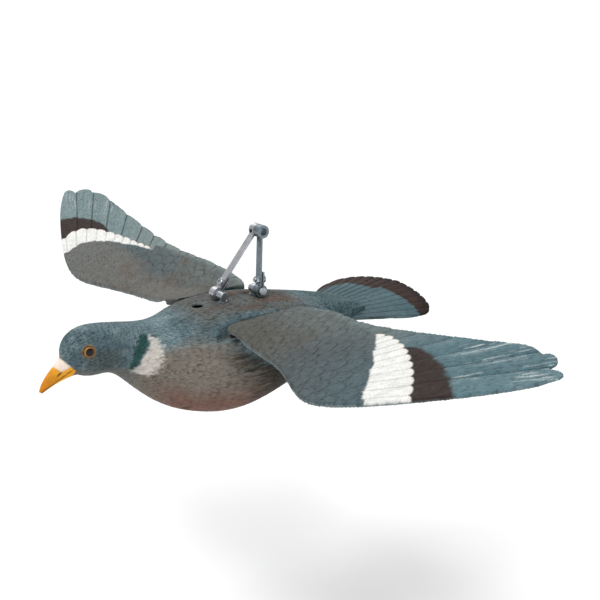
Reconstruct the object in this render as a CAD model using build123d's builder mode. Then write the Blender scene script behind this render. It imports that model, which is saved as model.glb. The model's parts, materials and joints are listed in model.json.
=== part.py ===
"""Wood pigeon flying decoy with spread, flapping wings, for the arm of a rotary decoy carousel.

Frame: origin at the centre of the bracket's arm bore, +Z up, the bird faces -X, its left wing is on -Y.
All sizes in millimetres.
"""
from build123d import *
import math
import os

# ---------------------------------------------------------------- driving dimensions
HALF_SPAN = 345.0        # arm bore to a wing tip
WALL = 2.4               # moulded shell wall

ARM_BORE_R = 3.0         # carousel arm, 6 mm rod
EYE_R = 5.5              # outside of the rolled eyes
STRIP_W = 6.8            # bracket strip width
EYE_L = 6.8              # length of each rolled eye
STRIP_T = 1.6            # bracket strip thickness
STRIP_GAP = 0.4          # between the two eyes, side by side on the arm
FEET = {"front": (-41.0, -4.8, -52.7), "rear": (-3.5, 4.8, -55.7)}   # stud x, y and seat height
FOOT_PAD = (16.0, 25.0)  # flat on the back under each foot, along x and y
BARREL_R = 3.6
BARREL_L = 19.0
BARREL_RISE = 5.6        # barrel axis above the seat
PINCH_RISE = 9.6         # pinch screw above the barrel axis, along the leg
PINCH_R = 1.5            # its shank
PINCH_HEAD_R = 3.4
PINCH_HEAD_H = 2.2
PINCH_NUT_FLATS = 5.5
PINCH_NUT_H = 2.6
STRIP_BITE = 0.5         # half the slot between the two strip ends at the pinch screw
STUD_R = 2.0
STUD_DEPTH = 16.0        # stud below the seat
SEAT_PAD_T = 7.0         # thickened back under each foot
COLLAR_R = 4.4
COLLAR_T = 1.1
WASHER_R = 9.0
WASHER_T = 1.6
LOCK_NUT_FLATS = 7.0
LOCK_NUT_H = 4.0
TIGHT = 0.01             # threaded and pressed pieces, on the radius
SET_SCREW_R = 1.5
SET_SCREW_L = 2.8
SET_SCREW_PLANE = Plane(origin=(-6.1, 3.6, 0), x_dir=(0, 1, 0), z_dir=(1, 0, 0))
FIT = 0.05               # running and push fits, on the radius

HINGE_Y = 43.0           # wing hinge axis, from the middle plane
HINGE_Z = -66.0
HINGE_R = 3.2
PIN_R = 1.25
PIN_HEAD_R = 2.4
PIN_HEAD_T = 1.1
PIN_CAP_R = 2.6
PIN_CAP_T = 1.4
EAR_X = (-40.0, -17.0, 6.0)   # middles of the three body ears
EAR_L = 6.0
EAR_GAP = 0.4
LEDGE_Z = -71.0          # flat shoulder ledge under the hinge
LEDGE_Y = 39.3
LEDGE_X = (-68.0, 18.0)

WING_ROOT_Z = -57.8      # top of the wing at its inner edge
WING_ROOT_Y = 41.0
WING_DIHEDRAL = 10.4
WING_PITCH = 20.0
WING_T = (6.0, 4.2, 2.6)  # thickness at the root, the middle and the tip

TAIL_PIVOT = (100.0, -78.0)   # x and z where the tail plate is level with the rump
TAIL_RISE = 6.0
TAIL_T = 3.0
TAIL_CROWN_R = 290.0
TAIL_SIDE = ((58.0, 30.0), (76.0, 38.0), (96.0, 52.0), (112.0, 62.0), (129.0, 65.0), (144.0, 43.0))   # x, half width
TAIL_END_X = 151.0

# torso stations: x, half width, crown z, widest z, keel z, squareness of the back (2 is an ellipse)
TORSO = (
    (-179.5, 3.0, -62.5, -69.0, -76.0, 2.0),
    (-176.0, 7.5, -56.0, -68.0, -81.0, 2.0),
    (-168.0, 12.5, -50.5, -67.0, -86.0, 2.0),
    (-156.0, 15.3, -48.5, -67.5, -89.0, 2.0),
    (-142.0, 15.8, -50.0, -69.0, -90.5, 2.0),
    (-128.0, 17.0, -52.5, -72.5, -102.5, 2.0),
    (-114.0, 21.8, -55.0, -78.0, -116.5, 2.0),
    (-96.0, 31.6, -56.0, -84.5, -130.0, 2.2),
    (-73.0, 44.5, -53.6, -89.0, -140.0, 2.7),
    (-44.0, 53.4, -52.3, -92.0, -144.6, 3.0),
    (-10.0, 53.0, -53.8, -93.0, -138.0, 3.0),
    (24.0, 46.5, -59.0, -92.0, -126.5, 2.8),
    (54.0, 38.4, -64.8, -89.0, -113.5, 2.4),
    (72.0, 33.0, -69.5, -82.5, -99.0, 2.1),
    (84.0, 30.0, -73.4, -80.0, -89.0, 2.0),
    (90.0, 28.0, -75.5, -78.6, -84.5, 2.0),
)
CAVITY_X = (-150.0, 80.0)     # the hollow starts behind the eyes and ends over the tail's tongue

# bill stations: x, z, downward slope, half height, half width
BILL = (
    (-173.0, -77.0, 21.0, 9.2, 7.4),
    (-183.0, -81.6, 28.0, 6.6, 5.4),
    (-191.5, -87.2, 38.0, 4.2, 3.6),
    (-198.0, -93.6, 46.0, 1.4, 1.3),
)

# seam between the upper and lower shells, seen from the side
SEAM = ((-215.0, -104.0), (-171.0, -77.4), (-50.0, -95.0), (0.0, -99.0), (40.0, -94.0), (66.0, -81.5),
        (125.0, -75.4))

SHELL_SCREWS = ((-85.0, 15.0, -120.0, -76.0), (45.0, 17.0, -107.0, -80.0))   # x, y, head z, tip z
SCREW_R = 1.5
SCREW_HEAD_R = 3.2
SCREW_HEAD_H = 2.2
BOSS_R = 4.6
TAIL_SCREWS_X = 70.0
TAIL_SCREWS_HEAD_Z = -92.0
TAIL_SCREWS_TIP_Z = -76.0
TAIL_SCREW_PLACES = ((TAIL_SCREWS_X, 12.0), (TAIL_SCREWS_X, -12.0))
THREAD_FIT = 0.02        # a driven screw in its hole, on the radius
HEAD_ROOM = 0.3          # round a sunk screw head

HOLE_X = -61.0           # round hole in the back, ahead of the bracket
HOLE_R = 4.5
EYE = (-162.4, 14.0, -65.0)   # middle of a glass eye's rim
GLASS_EYE_R = 4.2

os.makedirs("parts", exist_ok=True)


def write(shape, name):
    """Label a finished piece and write its STEP file."""
    shape.label = name
    export_step(shape, f"parts/{name}.step")


# ---------------------------------------------------------------- torso form
def station_face(x, half_w, crown, middle, keel, squareness, inset=0.0):
    """Torso section: a flattened arch over a half ellipse, which meet at the widest level."""
    arch = []
    for step in range(9):
        angle = math.pi * step / 8
        out = abs(math.cos(angle)) ** (2 / squareness) * (half_w - inset)
        rise = abs(math.sin(angle)) ** (2 / squareness) * (crown - middle - inset)
        arch.append((math.copysign(out, math.cos(angle)), middle + rise))
    with BuildSketch(Plane.YZ.offset(x)) as face:
        with BuildLine():
            Spline(*arch, tangents=((0, 1), (0, -1)))
            EllipticalCenterArc((0, middle), half_w - inset, middle - keel - inset, 180, arc_size=180)
        make_face()
    return face.sketch


def seam_region(upper):
    """Everything above the seam line, or everything below it."""
    far = 40.0 if upper else -220.0
    with BuildPart() as region:
        with BuildSketch(Plane.XZ):
            with BuildLine():
                Polyline(*SEAM, (SEAM[-1][0], far), (SEAM[0][0], far), close=True)
            make_face()
        extrude(amount=120, both=True)
    return region.part


def shoulder_blocks(margin):
    """Material above each wing ledge, grown by a margin so that the wall stays whole under it."""
    with BuildPart() as blocks:
        for side in (-1, 1):
            low_x, high_x = LEDGE_X[0] - margin, LEDGE_X[1] + margin
            inner = LEDGE_Y - margin
            with BuildSketch(Plane.XY.offset(LEDGE_Z - margin)):
                with Locations(((low_x + high_x) / 2, side * (inner + 15))):
                    Rectangle(high_x - low_x, 30)
            extrude(amount=40)
    return blocks.part


def tail_plate(thickness, grow=0.0):
    """Fan-shaped plate, crowned across and rising a little towards its rim."""
    axis_plane = Plane(
        origin=(TAIL_PIVOT[0], 0, TAIL_PIVOT[1]),
        x_dir=(0, 1, 0),
        z_dir=(math.cos(math.radians(TAIL_RISE)), 0, math.sin(math.radians(TAIL_RISE))),
    )
    outer, inner = TAIL_CROWN_R + thickness / 2, TAIL_CROWN_R - thickness / 2
    with BuildPart() as plate:
        with BuildSketch(axis_plane):
            with Locations((0, -TAIL_CROWN_R)):
                Circle(outer)
                Circle(inner, mode=Mode.SUBTRACT)
            Rectangle(150, 40, mode=Mode.INTERSECT)
        extrude(amount=75, both=True)
        with BuildSketch(Plane.XY.offset(-120)):
            with BuildLine():
                side = Spline(*[(x, half_w + grow) for x, half_w in TAIL_SIDE], (TAIL_END_X + grow, 0))
                mirror(side, about=Plane.XZ)
                Line((TAIL_SIDE[0][0], TAIL_SIDE[0][1] + grow), (TAIL_SIDE[0][0], -TAIL_SIDE[0][1] - grow))
            make_face()
        extrude(amount=100, mode=Mode.INTERSECT)
    return plate.part


with BuildPart() as torso_form:
    for station in TORSO:
        add(station_face(*station))
    loft()
    for x, z, slope, half_h, half_w in BILL:
        tilt = math.radians(slope)
        with BuildSketch(Plane(origin=(x, 0, z), x_dir=(0, 1, 0), z_dir=(-math.cos(tilt), 0, -math.sin(tilt)))):
            Ellipse(half_w, half_h)
    loft()
    add(shoulder_blocks(0), mode=Mode.SUBTRACT)

with BuildPart() as torso_cavity:
    for station in TORSO:
        if CAVITY_X[0] <= station[0] <= CAVITY_X[1]:
            add(station_face(*station, inset=WALL))
    loft()
    add(shoulder_blocks(WALL), mode=Mode.SUBTRACT)

# columns for the shell screws, the tail screws and the bracket studs, trimmed to the torso's outside
with BuildPart() as columns:
    for x, y, head_z, tip_z in SHELL_SCREWS:
        for side in (-1, 1):
            with BuildSketch(Plane.XY.offset(-150)):
                with Locations((x, side * y)):
                    Circle(BOSS_R)
            extrude(amount=110)
    with BuildSketch(Plane.XY.offset(-150)):
        with Locations(*TAIL_SCREW_PLACES):
            Circle(BOSS_R)
    extrude(amount=110)
    for x, y, seat in FEET.values():
        with BuildSketch(Plane.XY.offset(seat - SEAT_PAD_T)):
            with Locations((x, y)):
                Circle(8)
        extrude(amount=20)
    add(torso_form.part, mode=Mode.INTERSECT)

with BuildPart() as stud_seats:
    for x, y, seat in FEET.values():
        with BuildSketch(Plane.XY.offset(seat - SEAT_PAD_T)):
            with Locations((x, y)):
                Circle(6.5)
        extrude(amount=SEAT_PAD_T)
    with BuildSketch(Plane.XY.offset(-200)):
        with Locations((-25, 0)):
            Rectangle(60, 40)
    extrude(amount=200, mode=Mode.INTERSECT)


def hinge_ears(side):
    """Three upstanding ears on the shoulder ledge, bored for the hinge pin."""
    with BuildPart() as ears:
        for x in EAR_X:
            with BuildSketch(Plane.YZ.offset(x - EAR_L / 2)):
                with Locations((side * HINGE_Y, HINGE_Z)):
                    Circle(HINGE_R)
                with Locations((side * HINGE_Y, (HINGE_Z + LEDGE_Z) / 2 - 0.6)):
                    Rectangle(2 * HINGE_R, HINGE_Z - LEDGE_Z + 1.2)
                with Locations((side * HINGE_Y, HINGE_Z)):
                    Circle(PIN_R + THREAD_FIT, mode=Mode.SUBTRACT)
            extrude(amount=EAR_L)
    return ears.part


with BuildPart() as back_shell:
    add(torso_form.part)
    add(torso_cavity.part, mode=Mode.SUBTRACT)
    add(columns.part)
    add(seam_region(True), mode=Mode.INTERSECT)
    add(stud_seats.part)
    add(hinge_ears(-1))
    add(hinge_ears(1))
    add(tail_plate(TAIL_T + 0.3, grow=0.3), mode=Mode.SUBTRACT)
    for x, y, seat in FEET.values():
        with BuildSketch(Plane.XY.offset(seat - 10)):
            with Locations((x, y)):
                Circle(STUD_R + FIT)
        extrude(amount=20, mode=Mode.SUBTRACT)
        with BuildSketch(Plane.XY.offset(seat)):
            with Locations((x, 0)):
                Rectangle(*FOOT_PAD)
        extrude(amount=8, mode=Mode.SUBTRACT)
    with BuildSketch(Plane.XY.offset(-62)):
        with Locations((HOLE_X, 0)):
            Circle(HOLE_R)
    extrude(amount=30, mode=Mode.SUBTRACT)
    for x, y, head_z, tip_z in SHELL_SCREWS:
        with BuildSketch(Plane.XY.offset(head_z)):
            with Locations((x, y), (x, -y)):
                Circle(SCREW_R + THREAD_FIT)
        extrude(amount=tip_z - head_z + 1, mode=Mode.SUBTRACT)
    with BuildSketch(Plane.XY.offset(TAIL_SCREWS_HEAD_Z)):
        with Locations(*TAIL_SCREW_PLACES):
            Circle(SCREW_R + THREAD_FIT)
    extrude(amount=TAIL_SCREWS_TIP_Z - TAIL_SCREWS_HEAD_Z + 1, mode=Mode.SUBTRACT)
    for side in (-1, 1):
        with BuildSketch(Plane.XZ.offset(-side * (EYE[1] + 3))):
            with Locations((EYE[0], EYE[2])):
                Circle(GLASS_EYE_R + FIT)
        extrude(amount=side * 6.5, mode=Mode.SUBTRACT)

with BuildPart() as belly_shell:
    add(torso_form.part)
    add(torso_cavity.part, mode=Mode.SUBTRACT)
    add(columns.part)
    add(seam_region(False), mode=Mode.INTERSECT)
    add(tail_plate(TAIL_T + 0.3, grow=0.3), mode=Mode.SUBTRACT)
    for x, y, head_z, tip_z in SHELL_SCREWS:
        with BuildSketch(Plane.XY.offset(head_z)):
            with Locations((x, y), (x, -y)):
                Circle(SCREW_R + FIT)
        extrude(amount=60, mode=Mode.SUBTRACT)
        with BuildSketch(Plane.XY.offset(head_z)):
            with Locations((x, y), (x, -y)):
                Circle(SCREW_HEAD_R + HEAD_ROOM)
        extrude(amount=-50, mode=Mode.SUBTRACT)
    with BuildSketch(Plane.XY.offset(TAIL_SCREWS_HEAD_Z)):
        with Locations(*TAIL_SCREW_PLACES):
            Circle(SCREW_R + FIT)
    extrude(amount=30, mode=Mode.SUBTRACT)
    with BuildSketch(Plane.XY.offset(TAIL_SCREWS_HEAD_Z)):
        with Locations(*TAIL_SCREW_PLACES):
            Circle(SCREW_HEAD_R + HEAD_ROOM)
    extrude(amount=-40, mode=Mode.SUBTRACT)

write(back_shell.part, "back_shell")
write(belly_shell.part, "belly_shell")

# ---------------------------------------------------------------- tail
with BuildPart() as tail_fan:
    add(tail_plate(TAIL_T))
    with BuildSketch(Plane.XY.offset(-100)):
        with Locations(*TAIL_SCREW_PLACES):
            Circle(SCREW_R + FIT)
    extrude(amount=40, mode=Mode.SUBTRACT)
write(tail_fan.part, "tail_fan")


# ---------------------------------------------------------------- wings
# leading edge from the root tip to the outermost primary
LEADING = ((-64, 50), (-60.5, 75), (-59, 103), (-68.5, 135), (-80, 162), (-87, 193), (-84, 218), (-73.5, 252),
           (-60, 287), (-44, 322), (-30, 344))
ROOT_CURVE = ((-64, 50), (-55, 43), (-44, WING_ROOT_Y))
TRAILING = ((9, WING_ROOT_Y), (14, 62), (8, 96), (0, 130), (-4, 170), (-5, 230), (-4, 288))
# the three longest primaries, each from its inner edge round its tip
PRIMARY_TIPS = (
    ((-4, 288), (-6, 306), (-10.6, 316)),
    ((-10.6, 316), (-13, 329), (-18.5, 332.5), (-22.9, 329.5)),
    ((-22.9, 329.5), (-23, 339), (-27, HALF_SPAN), (-30, 344)),
)


def wing_top(x, y):
    """Height of the wing's top: level at the root, twisting into the pitched outer wing."""
    level = WING_ROOT_Z + 0.1 * (y - WING_ROOT_Y)
    pitched = (-79.4 + math.tan(math.radians(WING_DIHEDRAL)) * (y - 17.5)
               + math.tan(math.radians(WING_PITCH)) * (x + 42.2))
    t = min(max((y - WING_ROOT_Y) / 75.0, 0.0), 1.0)
    blend = t * t * (3 - 2 * t)
    return level * (1 - blend) + pitched * blend


def wing_thickness(y):
    """Thick at the root, thin at the tip."""
    root, middle, tip = WING_T
    if y < 150:
        return root + (middle - root) * (y - 36) / 114
    return middle + (tip - middle) * (y - 150) / 200


with BuildPart() as left_wing:
    front, back = -95.0, 25.0
    for step in range(13):
        y = 36.0 + 26.25 * step
        thick = wing_thickness(y)
        with BuildSketch(Plane.XZ.offset(y)):
            with BuildLine():
                Polyline(
                    (front, wing_top(front, y)),
                    (back, wing_top(back, y)),
                    (back, wing_top(back, y) - thick),
                    (front, wing_top(front, y) - thick),
                    close=True,
                )
            make_face()
    loft()
    with BuildSketch(Plane.XY.offset(-130)):
        with BuildLine():
            Spline(*[(x, -y) for x, y in LEADING])
            Spline(*[(x, -y) for x, y in ROOT_CURVE], tangents=[(0.6, 0.8), (1, 0)])
            Line((ROOT_CURVE[-1][0], -WING_ROOT_Y), (TRAILING[0][0], -WING_ROOT_Y))
            Spline(*[(x, -y) for x, y in TRAILING])
            for tip in PRIMARY_TIPS:
                Spline(*[(x, -y) for x, y in tip])
        make_face()
    extrude(amount=160, mode=Mode.INTERSECT)
    # two knuckles under the root, each with a heel that lands on the shoulder ledge
    for low_ear, high_ear in zip(EAR_X[:-1], EAR_X[1:]):
        start = low_ear + EAR_L / 2 + EAR_GAP
        length = high_ear - low_ear - EAR_L - 2 * EAR_GAP
        with BuildSketch(Plane.YZ.offset(start)):
            with Locations((-HINGE_Y, HINGE_Z)):
                Circle(HINGE_R)
            with Locations((-HINGE_Y - 1.9, (HINGE_Z + LEDGE_Z) / 2 + 1.3)):
                Rectangle(3.8, HINGE_Z - LEDGE_Z + 2.4)
            with Locations((-HINGE_Y, HINGE_Z + 2)):
                Rectangle(5, 4)
        extrude(amount=length)
    with BuildSketch(Plane.YZ.offset(EAR_X[0] - 20)):
        with Locations((-HINGE_Y, HINGE_Z)):
            Circle(PIN_R + FIT)
    extrude(amount=80, mode=Mode.SUBTRACT)
    # room for the body's ears and for the pin's head and cap
    for x, ahead, behind in zip(EAR_X, (4, 0, 0), (0, 0, 5)):
        with BuildSketch(Plane.YZ.offset(x - EAR_L / 2 - EAR_GAP - ahead)):
            with Locations((-HINGE_Y, HINGE_Z)):
                Circle(HINGE_R + 0.4)
        extrude(amount=EAR_L + 2 * EAR_GAP + ahead + behind, mode=Mode.SUBTRACT)

with BuildPart() as right_wing:
    add(mirror(left_wing.part, about=Plane.XZ, mode=Mode.PRIVATE))

write(left_wing.part, "left_wing")
write(right_wing.part, "right_wing")


def hinge_pin(side):
    """Headed steel pin through the ears and knuckles, with a pushed-on end cap."""
    start = EAR_X[0] - EAR_L / 2
    end = EAR_X[-1] + EAR_L / 2
    with BuildPart() as pin:
        with BuildSketch(Plane.YZ.offset(start - 1.2)):
            with Locations((side * HINGE_Y, HINGE_Z)):
                Circle(PIN_R)
        extrude(amount=end - start + 4.2)    # stands 3 mm out of the last ear, for the cap
        with BuildSketch(Plane.YZ.offset(start - 1.2)):
            with Locations((side * HINGE_Y, HINGE_Z)):
                Circle(PIN_HEAD_R)
        extrude(amount=PIN_HEAD_T)
    with BuildPart() as cap:
        with BuildSketch(Plane.YZ.offset(end + 0.1)):
            with Locations((side * HINGE_Y, HINGE_Z)):
                Circle(PIN_CAP_R)
                Circle(PIN_R + TIGHT, mode=Mode.SUBTRACT)
        extrude(amount=PIN_CAP_T)
        chamfer(cap.edges().filter_by(GeomType.CIRCLE).group_by(Axis.X)[-1].sort_by(SortBy.LENGTH)[-1:], 0.5)
    return pin.part, cap.part


for side, name in ((-1, "left"), (1, "right")):
    pin, cap = hinge_pin(side)
    write(pin, f"{name}_hinge_pin")
    write(cap, f"{name}_hinge_cap")


# ---------------------------------------------------------------- eyes
with BuildPart() as left_eye:
    with BuildSketch(Plane.XZ.offset(EYE[1] - 3)):
        with Locations((EYE[0], EYE[2])):
            Circle(GLASS_EYE_R)
    extrude(amount=2.6)
    with BuildSketch(Plane.XZ.offset(EYE[1] - 0.4)):
        with Locations((EYE[0], EYE[2])):
            Circle(GLASS_EYE_R)
    extrude(amount=1.6, taper=35)
with BuildPart() as right_eye:
    add(mirror(left_eye.part, about=Plane.XZ, mode=Mode.PRIVATE))
write(left_eye.part, "left_eye")
write(right_eye.part, "right_eye")


# ---------------------------------------------------------------- shell and tail screws
def pan_head_screws(places, head_z, tip_z):
    """Pan-head screws driven upwards, with a cross recess in each head."""
    with BuildPart() as screws:
        with BuildSketch(Plane.XY.offset(head_z)):
            with Locations(*places):
                Circle(SCREW_R)
        extrude(amount=tip_z - head_z)
        with BuildSketch(Plane.XY.offset(head_z)):
            with Locations(*places):
                Circle(SCREW_HEAD_R)
        extrude(amount=-SCREW_HEAD_H)
        with BuildSketch(Plane.XY.offset(head_z - SCREW_HEAD_H)):
            with Locations(*places):
                Rectangle(3.6, 0.8)
                Rectangle(0.8, 3.6)
        extrude(amount=1.2, mode=Mode.SUBTRACT)
    return screws.part


(front_x, front_y, front_head, front_tip), (rear_x, rear_y, rear_head, rear_tip) = SHELL_SCREWS
write(pan_head_screws(((front_x, front_y), (front_x, -front_y)), front_head, front_tip), "breast_screws")
write(pan_head_screws(((rear_x, rear_y), (rear_x, -rear_y)), rear_head, rear_tip), "belly_screws")
write(pan_head_screws(TAIL_SCREW_PLACES, TAIL_SCREWS_HEAD_Z, TAIL_SCREWS_TIP_Z), "tail_screws")


# ---------------------------------------------------------------- bracket feet
def hexagon(across_flats):
    """Hexagon sketch with two flats along Y."""
    return RegularPolygon(radius=across_flats / 2, side_count=6, major_radius=False)


def foot_pieces(x, y, seat):
    """Cross barrel on a threaded stud, clamped to the back by a collar, a backing washer and a nut."""
    axis_z = seat + BARREL_RISE
    with BuildPart() as barrel:
        with BuildSketch(Plane.XZ.offset(-BARREL_L / 2)):
            with Locations((x, axis_z)):
                Circle(BARREL_R)
        extrude(amount=BARREL_L)
        chamfer(barrel.edges().filter_by(GeomType.CIRCLE), 0.6)
        with BuildSketch(Plane.XY.offset(axis_z - BARREL_R - 1)):
            with Locations((x, y)):
                Circle(STUD_R + TIGHT)
        extrude(amount=BARREL_R + 3, mode=Mode.SUBTRACT)
    with BuildPart() as stud:
        with BuildSketch(Plane.XY.offset(seat - STUD_DEPTH)):
            with Locations((x, y)):
                Circle(STUD_R)
        extrude(amount=STUD_DEPTH + BARREL_RISE + 1.5)
        chamfer(stud.edges().filter_by(GeomType.CIRCLE).group_by(Axis.Z)[0], 0.4)
    with BuildPart() as collar:
        with BuildSketch(Plane.XY.offset(seat)):
            with Locations((x, y)):
                Circle(COLLAR_R)
        extrude(amount=COLLAR_T)
        with BuildSketch(Plane.XY.offset(seat + COLLAR_T)):
            with Locations((x, y)):
                hexagon(LOCK_NUT_FLATS)
        extrude(amount=BARREL_RISE - BARREL_R - COLLAR_T - 0.1)
        with BuildSketch(Plane.XY.offset(seat)):
            with Locations((x, y)):
                Circle(STUD_R + TIGHT)
        extrude(amount=4, mode=Mode.SUBTRACT)
    with BuildPart() as washer:
        with BuildSketch(Plane.XY.offset(seat - SEAT_PAD_T)):
            with Locations((x, y)):
                Circle(WASHER_R)
                Circle(STUD_R + 2 * FIT, mode=Mode.SUBTRACT)
        extrude(amount=-WASHER_T)
    with BuildPart() as nut:
        with BuildSketch(Plane.XY.offset(seat - SEAT_PAD_T - WASHER_T)):
            with Locations((x, y)):
                hexagon(LOCK_NUT_FLATS)
                Circle(STUD_R + TIGHT, mode=Mode.SUBTRACT)
        extrude(amount=-LOCK_NUT_H)
    return {
        "foot_barrel": barrel.part,
        "foot_stud": stud.part,
        "foot_collar": collar.part,
        "backing_washer": washer.part,
        "lock_nut": nut.part,
    }


# ---------------------------------------------------------------- bracket legs
def leg_pieces(x, seat, side):
    """A steel strip rolled into an eye at the arm and wrapped round the barrel, with its pinch screw and nut.

    side is 1 or -1: the half of the arm bore, towards +Y or -Y, that the leg takes.
    """
    # in the side view, local x runs up the leg from the barrel to the arm
    up = Vector(-x, 0, -seat - BARREL_RISE)
    length = up.length
    side_view = Plane(origin=(x, 0, seat + BARREL_RISE), x_dir=up, z_dir=(0, -1, 0))
    work = side_view.offset(-side * STRIP_GAP / 2)
    loop_in, loop_out = BARREL_R + FIT, BARREL_R + FIT + STRIP_T
    near, far = STRIP_BITE, STRIP_BITE + STRIP_T
    with BuildPart() as leg:
        with BuildSketch(work):
            Circle(loop_out)
            with Locations(((3.5 + length) / 2, (near + far) / 2)):
                Rectangle(length - 3.5, STRIP_T)
            with Locations((3.5 + 6.25, -(near + far) / 2)):
                Rectangle(12.5, STRIP_T)
            with Locations((9.0, 0)):
                Rectangle(18, 2 * near, mode=Mode.SUBTRACT)
            Circle(loop_in, mode=Mode.SUBTRACT)
        extrude(amount=-side * STRIP_W)
        with BuildSketch(work):
            with Locations((length, 0)):
                Circle(EYE_R)
        extrude(amount=-side * EYE_L)
        with BuildSketch(work):
            with Locations((length, 0)):
                Circle(ARM_BORE_R)
        extrude(amount=-side * EYE_L, mode=Mode.SUBTRACT)
        middle_y = side * (STRIP_GAP + STRIP_W) / 2
        across = Plane(origin=side_view.from_local_coords((PINCH_RISE, 0, -middle_y)),
                       x_dir=side_view.x_dir, z_dir=side_view.y_dir * -side)
        with BuildSketch(across.offset(-far - 1)):
            Circle(PINCH_R + FIT)
        extrude(amount=2 * far + 2, mode=Mode.SUBTRACT)
    with BuildPart() as screw:
        with BuildSketch(across.offset(-far)):
            Circle(PINCH_R)
        extrude(amount=2 * far + PINCH_NUT_H + 1.6)
        with BuildSketch(across.offset(-far)):
            Circle(PINCH_HEAD_R)
        extrude(amount=-PINCH_HEAD_H)
        fillet(screw.faces().sort_by(Axis(across.origin, across.z_dir))[0].edges(), 1.0)
        with BuildSketch(across.offset(-far - PINCH_HEAD_H)):
            Rectangle(3.2, 0.7)
            Rectangle(0.7, 3.2)
        extrude(amount=1.0, mode=Mode.SUBTRACT)
    with BuildPart() as nut:
        with BuildSketch(across.offset(far)):
            hexagon(PINCH_NUT_FLATS)
            Circle(PINCH_R + TIGHT, mode=Mode.SUBTRACT)
        extrude(amount=PINCH_NUT_H)
    return {"leg": leg.part, "pinch_screw": screw.part, "pinch_nut": nut.part}


bracket = {}
for name, side in (("front", 1), ("rear", -1)):
    foot_x, foot_y, seat = FEET[name]
    for piece, shape in (leg_pieces(foot_x, seat, side) | foot_pieces(foot_x, foot_y, seat)).items():
        bracket[f"{name}_{piece}"] = shape

# set screw through the front leg's eye, just clear of the arm
with BuildPart() as arm_set_screw:
    with BuildSketch(SET_SCREW_PLANE):
        Circle(SET_SCREW_R)
    extrude(amount=SET_SCREW_L)
    with BuildSketch(SET_SCREW_PLANE):
        hexagon(1.5)
    extrude(amount=1.2, mode=Mode.SUBTRACT)
with BuildPart() as front_leg_tapped:
    add(bracket["front_leg"])
    with BuildSketch(SET_SCREW_PLANE):
        Circle(SET_SCREW_R + FIT)
    extrude(amount=EYE_R, mode=Mode.SUBTRACT)
bracket["front_leg"] = front_leg_tapped.part

write(arm_set_screw.part, "arm_set_screw")
for name, shape in bracket.items():
    write(shape, name)
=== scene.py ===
"""Looks of a wood pigeon flying decoy: moulded, hand-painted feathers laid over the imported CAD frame.

Row frame, metres: +Z up, the bird faces -X, its left wing is on -Y. Feather sizes below are in millimetres.
"""
import bpy
import json
import math
import numpy as np
from mathutils import Matrix, Vector


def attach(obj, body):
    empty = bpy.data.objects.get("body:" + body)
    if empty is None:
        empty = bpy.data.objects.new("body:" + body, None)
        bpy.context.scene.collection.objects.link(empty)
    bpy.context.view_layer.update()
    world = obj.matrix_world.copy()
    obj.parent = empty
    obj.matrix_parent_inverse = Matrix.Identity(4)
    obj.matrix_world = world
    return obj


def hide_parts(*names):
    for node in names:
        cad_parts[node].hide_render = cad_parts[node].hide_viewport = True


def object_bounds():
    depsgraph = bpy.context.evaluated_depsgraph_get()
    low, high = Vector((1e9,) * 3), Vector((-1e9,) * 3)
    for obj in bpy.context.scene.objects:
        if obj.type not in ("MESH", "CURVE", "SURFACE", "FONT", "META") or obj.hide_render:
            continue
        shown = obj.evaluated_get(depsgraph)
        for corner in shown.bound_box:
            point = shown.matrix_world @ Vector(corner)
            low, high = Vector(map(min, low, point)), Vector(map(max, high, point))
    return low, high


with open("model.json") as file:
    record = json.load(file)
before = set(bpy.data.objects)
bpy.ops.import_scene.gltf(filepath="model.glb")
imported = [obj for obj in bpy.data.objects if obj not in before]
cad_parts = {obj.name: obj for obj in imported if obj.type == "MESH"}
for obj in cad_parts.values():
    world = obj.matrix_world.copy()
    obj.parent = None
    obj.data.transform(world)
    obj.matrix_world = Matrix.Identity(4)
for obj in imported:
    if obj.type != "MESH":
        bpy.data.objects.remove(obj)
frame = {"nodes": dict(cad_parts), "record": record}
cad_low, cad_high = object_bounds()
nodes = frame["nodes"]

# mesh cell of each skin, in metres
BODY_CELL = 0.00092
WING_CELL = 0.00085
TAIL_CELL = 0.0007
FLOOR_DROP = 0.30          # floor below the keel, since the decoy hangs

# torso stations: x, half width, crown z, widest z, keel z, squareness of the back
TORSO = np.array((
    (-179.5, 3.0, -62.5, -69.0, -76.0, 2.0), (-176.0, 7.5, -56.0, -68.0, -81.0, 2.0),
    (-168.0, 12.5, -50.5, -67.0, -86.0, 2.0), (-156.0, 15.3, -48.5, -67.5, -89.0, 2.0),
    (-142.0, 15.8, -50.0, -69.0, -90.5, 2.0), (-128.0, 17.0, -52.5, -72.5, -102.5, 2.0),
    (-114.0, 21.8, -55.0, -78.0, -116.5, 2.0), (-96.0, 31.6, -56.0, -84.5, -130.0, 2.2),
    (-73.0, 44.5, -53.6, -89.0, -140.0, 2.7), (-44.0, 53.4, -52.3, -92.0, -144.6, 3.0),
    (-10.0, 53.0, -53.8, -93.0, -138.0, 3.0), (24.0, 46.5, -59.0, -92.0, -126.5, 2.8),
    (54.0, 38.4, -64.8, -89.0, -113.5, 2.4), (72.0, 33.0, -69.5, -82.5, -99.0, 2.1),
    (84.0, 30.0, -73.4, -80.0, -89.0, 2.0), (90.0, 28.0, -75.5, -78.6, -84.5, 2.0),
))
# seam between the two shells, seen from the side: x, z
SEAM = np.array(((-215.0, -104.0), (-171.0, -77.4), (-50.0, -95.0), (0.0, -99.0), (40.0, -94.0),
                 (66.0, -81.5), (125.0, -75.4)))
EYE = (-162.4, -65.0)      # middle of a glass eye: x, z
DOME_R = 4.15
FEET_X = (-41.0, -3.5)     # bracket feet on the back
FAN = (-140.0, 60.0)       # feathers of a wing spread from this point (x, distance from the middle plane)
TAIL_FAN_X = 10.0          # feathers of the tail spread from this x on the middle plane

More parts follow.
